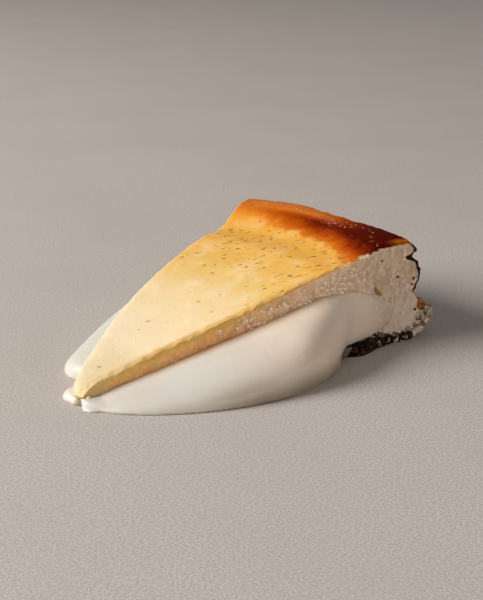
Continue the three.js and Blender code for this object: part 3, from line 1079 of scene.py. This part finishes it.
def curd_colours(tree, where, place):
    """The curd's colour by depth and radius, with its grains and columns, and the holes in the near cut
    painted dark as their shade.
    """
    radius, height = place["from_centre"], place["height"]
    values = dict(
        place,
        at_rim=paint(tree, fade(tree, height, 15.0, 24.0, 1.0, 0.0), CURD_AT_RIM, CURD_LOW_AT_RIM),
        mottle=noise(tree, where, 1.6, 3.0, 0.6),
        grainy=grains(tree, where),
        shown=shows_grains(tree, where, place),
        pore_tone_and_shade=paint(tree, fade(tree, radius, 80.0, 100.0), PORE_TONE_AND_SHADE, PORE_TONE_AND_SHADE_AT_RIM),
        columns=noise(tree, stretched(tree, where, (1.0, 1.0, 0.28)), 1.3, 2.0, 0.6),
    )
    curd = ramp(tree, calc(tree, "DIVIDE", place["under_top"], CURD_DEPTH), CURD_STOPS)
    curd = coats(tree, curd, values, CURD_COATS)
    near_cut = calc(tree, "LESS_THAN", place["across"], 0.2)
    for hole_radius, hole_height, size in HOLES:
        along = calc(tree, "POWER", calc(tree, "SUBTRACT", radius, hole_radius), 2.0)
        up = calc(tree, "POWER", calc(tree, "SUBTRACT", height, hole_height), 2.0)
        way = calc(tree, "SQRT", total(tree, along, up))
        hole = product(tree, fade(tree, way, 0.4 * size, size, 1.0, 0.0), near_cut)
        curd = paint(tree, hole, curd, HOLE_SHADE)
    return curd


def apart(tree, value, middle):
    return calc(tree, "ABSOLUTE", calc(tree, "SUBTRACT", value, middle))


def wall_crust(tree, where, place):
    """Where the wall has its crust, worn through in places and folded into the crease, and its colour."""
    fold = product(tree, fade(tree, apart(tree, place["height"], CREASE_HEIGHT), 0.3, 1.8, 1.0, 0.0), 1.5)
    depth = total(tree, 1.1, fold, ruffle(tree, where, 2.2, 3.0, 0.5, 1.6))
    crust = fade(tree, calc(tree, "SUBTRACT", place["inside_wall"], depth), -0.25, 0.35, 1.0, 0.0)
    worn = fade(tree, apart(tree, place["height"], WORN_HEIGHT), 1.5, 4.0, 1.0, 0.0)
    worn = product(tree, worn, fade(tree, place["across"], 0.02, 0.2, 1.0, 0.05))
    crust = product(tree, crust, inverse(tree, worn), fade(tree, place["under_top"], 0.5, 1.8))
    patches = noise(tree, stretched(tree, where, (1.0, 1.0, 0.5)), 5.0, 5.0, 0.7)
    return crust, paint(tree, fade(tree, patches, 0.42, 0.78, 0.0, 0.8), WALL_CRUST, WALL_WORN)


def baked_material():
    fixed = {
        "Specular IOR Level": 0.1,
        "Subsurface Radius": (1.0, 0.55, 0.25),
        "Subsurface Scale": 2.4 * MM,
    }
    made, tree, shader = new_material("baked_custard", fixed)
    where = object_mm(tree)
    place = attributes(tree)
    depth, radius = place["under_top"], place["from_centre"]
    place["near_side"] = fade(tree, place["across"], 0.35, 0.6, 1.0, 0.0)
    skin, burnt = skin_colours(tree, where, place)
    curd = curd_colours(tree, where, place)

    # The skin reaches down over the near edge and the crest.
    rolled = product(tree, place["near_side"], fade(tree, radius, 70.0, 90.0, -0.8, 0.0))
    wrapped = fade(tree, radius, 100.0, 110.0, 0.0, -0.6)
    ragged_depth = total(tree, depth, rolled, wrapped, ruffle(tree, where, 1.8, 2.0, 0.5, 1.3))
    colour = paint(tree, fade(tree, ragged_depth, 0.25, 1.0), skin, curd)
    crust, crust_colour = wall_crust(tree, where, place)
    colour = paint(tree, crust, colour, crust_colour)
    base_line = total(tree, place["height"], ruffle(tree, where, 1.8, 3.0, 0.6, 4.2))
    base = product(tree, fade(tree, base_line, 2.4, 3.6, 1.0, 0.0), fade(tree, radius, 84.0, 90.0))
    tree.links.new(paint(tree, base, colour, BASE_DARK), shader.inputs["Base Color"])

    on_skin = fade(tree, depth, 0.3, 0.9, 1.0, 0.0)
    matte = calc(tree, "MAXIMUM", fade(tree, burnt, 0.1, 0.5), calc(tree, "MAXIMUM", base, crust))
    tree.links.new(fade(tree, matte, 0.0, 1.0, 0.15, 0.02), shader.inputs["Specular IOR Level"])
    uneven = ruffle(tree, where, 3.0, 3.0, 0.5, 0.3)
    rough = total(tree, 0.44, uneven, product(tree, on_skin, -0.04), product(tree, burnt, 0.2))
    tree.links.new(rough, shader.inputs["Roughness"])
    grain = ruffle(tree, where, 0.55, 3.0, 0.6, fade(tree, on_skin, 0.0, 1.0, 1.0, 0.3))
    tree.links.new(bump(tree, grain, 0.5, 0.7), shader.inputs["Normal"])
    tree.links.new(fade(tree, matte, 0.0, 1.0, 0.5, 0.0), shader.inputs["Subsurface Weight"])
    return made


MOLTEN_COATS = (  # warmer to the rim, cool at the far side, caramel and painted shade beside the cut, painted shade at the foot, curdled
    ("at_rim", ("from_centre", 28.0, 76.0)),
    (srgb(208, 205, 195), ("across", 0.6, 0.9)),
    # partly a caramel tint, partly painted shade where the pool meets the cut under the band's edge
    (srgb(222, 168, 112), "caramel_and_contact_shade", ("from_centre", 12.0, 26.0, 0.2, 1.0),
     ("from_centre", 62.0, 88.0, 0.8, 0.0)),
    # painted shade: darker towards the ground along the pool's flank
    (srgb(152, 139, 119), ("height", 0.0, 8.0, 0.95, 0.0), ("from_centre", 34.0, 56.0)),
    # where the film thins it takes the curd's grain colours, with their painted shade in the pores
    ("curdled", ("from_centre", 96.0, 108.0, 0.0, 0.5)),
)


def molten_material():
    fixed = {
        "Subsurface Weight": 0.3,
        "Subsurface Radius": (1.0, 0.6, 0.35),
        "Subsurface Scale": 1.2 * MM,
    }
    made, tree, shader = new_material("molten_custard", fixed)
    where = object_mm(tree)
    place = attributes(tree)
    tint = fade(tree, noise(tree, where, 12.0, 3.0), 0.3, 0.7)
    grainy = grains(tree, where)
    beside_cut = fade(tree, place["inside_cut"], -5.0, 0.0, smooth=False)
    values = dict(
        place,
        at_rim=paint(tree, tint, srgb(230, 215, 198), srgb(224, 208, 190)),
        caramel_and_contact_shade=calc(tree, "POWER", beside_cut, 2.2),
        curdled=paint(tree, grainy, PORE_TONE_AND_SHADE_AT_RIM, CURD_LOW_AT_RIM),
    )
    at_tip = paint(tree, tint, srgb(214, 210, 203), srgb(211, 205, 195))
    tree.links.new(coats(tree, at_tip, values, MOLTEN_COATS), shader.inputs["Base Color"])
    sheen = noise(tree, where, 5.0, 3.0)
    tree.links.new(fade(tree, sheen, 0.3, 0.7, 0.3, 0.42), shader.inputs["Roughness"])

    # Where the film thins out it takes the curd's grain and columns.
    radius = place["from_centre"]
    grain = product(tree, noise(tree, where, 0.9, 2.0, 0.5), 0.25)
    columns = noise(tree, stretched(tree, where, (1.0, 1.0, 0.3)), 3.2, 2.0)
    columns = product(tree, columns, fade(tree, radius, 84.0, 104.0))
    lumps = product(tree, grainy, fade(tree, radius, 96.0, 108.0), 0.7)
    tree.links.new(bump(tree, total(tree, grain, columns, lumps), 0.5, 0.5), shader.inputs["Normal"])
    return made


def crumb_material(name, dark, light, rough=0.75):
    """Crumbs between two colours, each with its own tone."""
    made, tree, shader = new_material(name, {"Roughness": rough, "Specular IOR Level": 0.15})
    where = object_mm(tree)
    mixed = total(tree, attribute(tree, "tone"), ruffle(tree, where, 0.9, 3.0, 0.6, 0.9))
    tree.links.new(paint(tree, fade(tree, mixed, 0.1, 0.95), dark, light), shader.inputs["Base Color"])
    tree.links.new(bump(tree, noise(tree, where, 0.4, 3.0, 0.6), 0.25, 0.7), shader.inputs["Normal"])
    return made


def bead_material(name, light, dark, shine=0.5):
    """Small wet drops between two colours."""
    fixed = {
        "Roughness": 0.2,
        "Specular IOR Level": shine,
        "Subsurface Weight": 0.2,
        "Subsurface Radius": (1.0, 0.6, 0.4),
        "Subsurface Scale": 0.8 * MM,
    }
    made, tree, shader = new_material(name, fixed)
    tint = fade(tree, noise(tree, object_mm(tree), 2.5, 2.0), 0.35, 0.65)
    tree.links.new(paint(tree, tint, light, dark), shader.inputs["Base Color"])
    return made


def floor_material():
    made, tree, shader = new_material("floor", {"Roughness": 0.8})
    where = object_mm(tree)
    speck = noise(tree, where, 0.7, 3.0, 0.7)
    cloud = noise(tree, where, 60.0, 3.0)
    colour = paint(tree, fade(tree, speck, 0.36, 0.64), srgb(174, 166, 160), srgb(207, 199, 193))
    tree.links.new(bump(tree, speck, 0.15, 0.4), shader.inputs["Normal"])
    colour = paint(tree, fade(tree, cloud, 0.3, 0.7, 0.0, 0.3), colour, srgb(182, 172, 165))
    tree.links.new(colour, shader.inputs["Base Color"])
    return made


# ---- the studio ----
KEY = dict(turn=144.0, rise=29.0, distance=1800.0, size=1030.0, watts=46.0, colour=(1.0, 0.975, 0.94))
CARD = dict(turn=-97.0, rise=12.0, distance=900.0, size=280.0, watts=1.5, colour=(1.0, 0.9, 0.8))
FILL = dict(colour=(1.0, 0.955, 0.92), strength=0.21)
FLOOR_HALF = 1500.0


def look_along(thing, direction):
    thing.rotation_mode = "QUATERNION"
    thing.rotation_quaternion = direction.to_track_quat("-Z", "Y")


def add_camera():
    data = bpy.data.cameras.new("photographed_view")
    data.lens = VIEW_LENS
    data.sensor_width = SENSOR
    camera = bpy.data.objects.new("photographed_view", data)
    bpy.context.scene.collection.objects.link(camera)
    level = math.cos(VIEW_DROP)
    forward = Vector((math.sin(VIEW_TURN) * level, math.cos(VIEW_TURN) * level, -math.sin(VIEW_DROP)))
    aim = Vector((VIEW_AIM[0] - CENTRE[0], VIEW_AIM[1] - CENTRE[1], 0.0))
    camera.location = (aim - forward * VIEW_DISTANCE) * MM
    look_along(camera, forward)
    bpy.context.scene.camera = camera


def add_soft_light(name, lamp):
    data = bpy.data.lights.new(name, "AREA")
    data.shape = "DISK"
    data.size = lamp["size"] * MM
    data.energy = lamp["watts"]
    data.color = lamp["colour"]
    light = bpy.data.objects.new(name, data)
    bpy.context.scene.collection.objects.link(light)
    turn, rise = math.radians(lamp["turn"]), math.radians(lamp["rise"])
    towards = Vector((math.cos(turn) * math.cos(rise), math.sin(turn) * math.cos(rise), math.sin(rise)))
    light.location = towards * lamp["distance"] * MM
    look_along(light, -towards)


def add_lights():
    add_soft_light("key", KEY)
    add_soft_light("card", CARD)
    world = bpy.data.worlds.new("studio")
    world.use_nodes = True
    background = world.node_tree.nodes["Background"]
    background.inputs["Color"].default_value = (*FILL["colour"], 1.0)
    background.inputs["Strength"].default_value = FILL["strength"]
    bpy.context.scene.world = world


def add_floor():
    side = FLOOR_HALF
    corners = [(-side, -side, 0.0), (side, -side, 0.0), (side, side, 0.0), (-side, side, 0.0)]
    floor = mesh_object("floor", corners, [[0, 1, 2, 3]])
    floor.data.materials.append(floor_material())


# ---- the scene ----
add_camera()
add_lights()
add_floor()

cake = baked_cake(baked_material())
custard = molten_centre(molten_material())

base_crumbs = scatter(
    "base_crumbs", cake, base_crumb_places, 1.3,
    crumb_material("base_crumb", srgb(16, 10, 7), srgb(70, 46, 32)),
    per_square_cm=150.0, smallest=0.5, largest=2.1, seed=4.0,
)
torn_crumbs = scatter(
    "torn_crumbs", cake, torn_crumb_places, 1.2,
    crumb_material("torn_crumb", srgb(104, 92, 82), srgb(214, 202, 188)),
    per_square_cm=75.0, smallest=0.7, largest=2.3, sinks=-0.3, seed=21.0,
)
foot_crumbs = scatter(
    "foot_crumbs", cake, foot_crumb_places, 1.2,
    crumb_material("foot_crumb", srgb(126, 108, 88), srgb(226, 212, 190)),
    per_square_cm=150.0, smallest=0.7, largest=2.8, seed=8.0,
)
foot_crust = scatter(
    "foot_crust", cake, foot_crust_places, 1.2,
    crumb_material("foot_crust", srgb(50, 24, 12), srgb(192, 118, 50)),
    per_square_cm=200.0, smallest=0.7, largest=2.4, seed=15.0,
)
# curd beads: real drops, their near-white colour partly painted highlight
beads = scatter(
    "curd_beads", cake, bead_places, 0.3,
    bead_material("curd_bead_and_glint", srgb(255, 232, 206), srgb(255, 212, 172), 1.0),
    per_square_cm=100.0, smallest=0.5, largest=1.7, sinks=0.05, seed=12.0,
)
glints = scatter(
    "skin_glints", cake, glint_places, 0.3,
    bead_material("skin_glint", srgb(226, 160, 130), srgb(150, 70, 40)),
    per_square_cm=60.0, smallest=0.2, largest=0.65, flatness=0.6, sinks=0.0, seed=31.0,
)
pearls = tip_pearls(bead_material("tip_pearl", srgb(244, 228, 200), srgb(232, 208, 170)))
fleck = flake("curd_fleck", FLECK, crumb_material("curd_fleck", srgb(150, 104, 22), srgb(206, 152, 44), 0.5))
flap = flake("torn_flap", FLAP, crumb_material("torn_flap", srgb(70, 56, 50), srgb(140, 124, 114), 0.6))

for small in (base_crumbs, torn_crumbs, foot_crumbs, foot_crust, beads, glints, pearls, fleck, flap):
    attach(small, "root")
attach(cake, "root")
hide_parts("baked_cake")
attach(custard, "root")
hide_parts("molten_centre")

bpy.context.scene.view_settings.view_transform = "Standard"
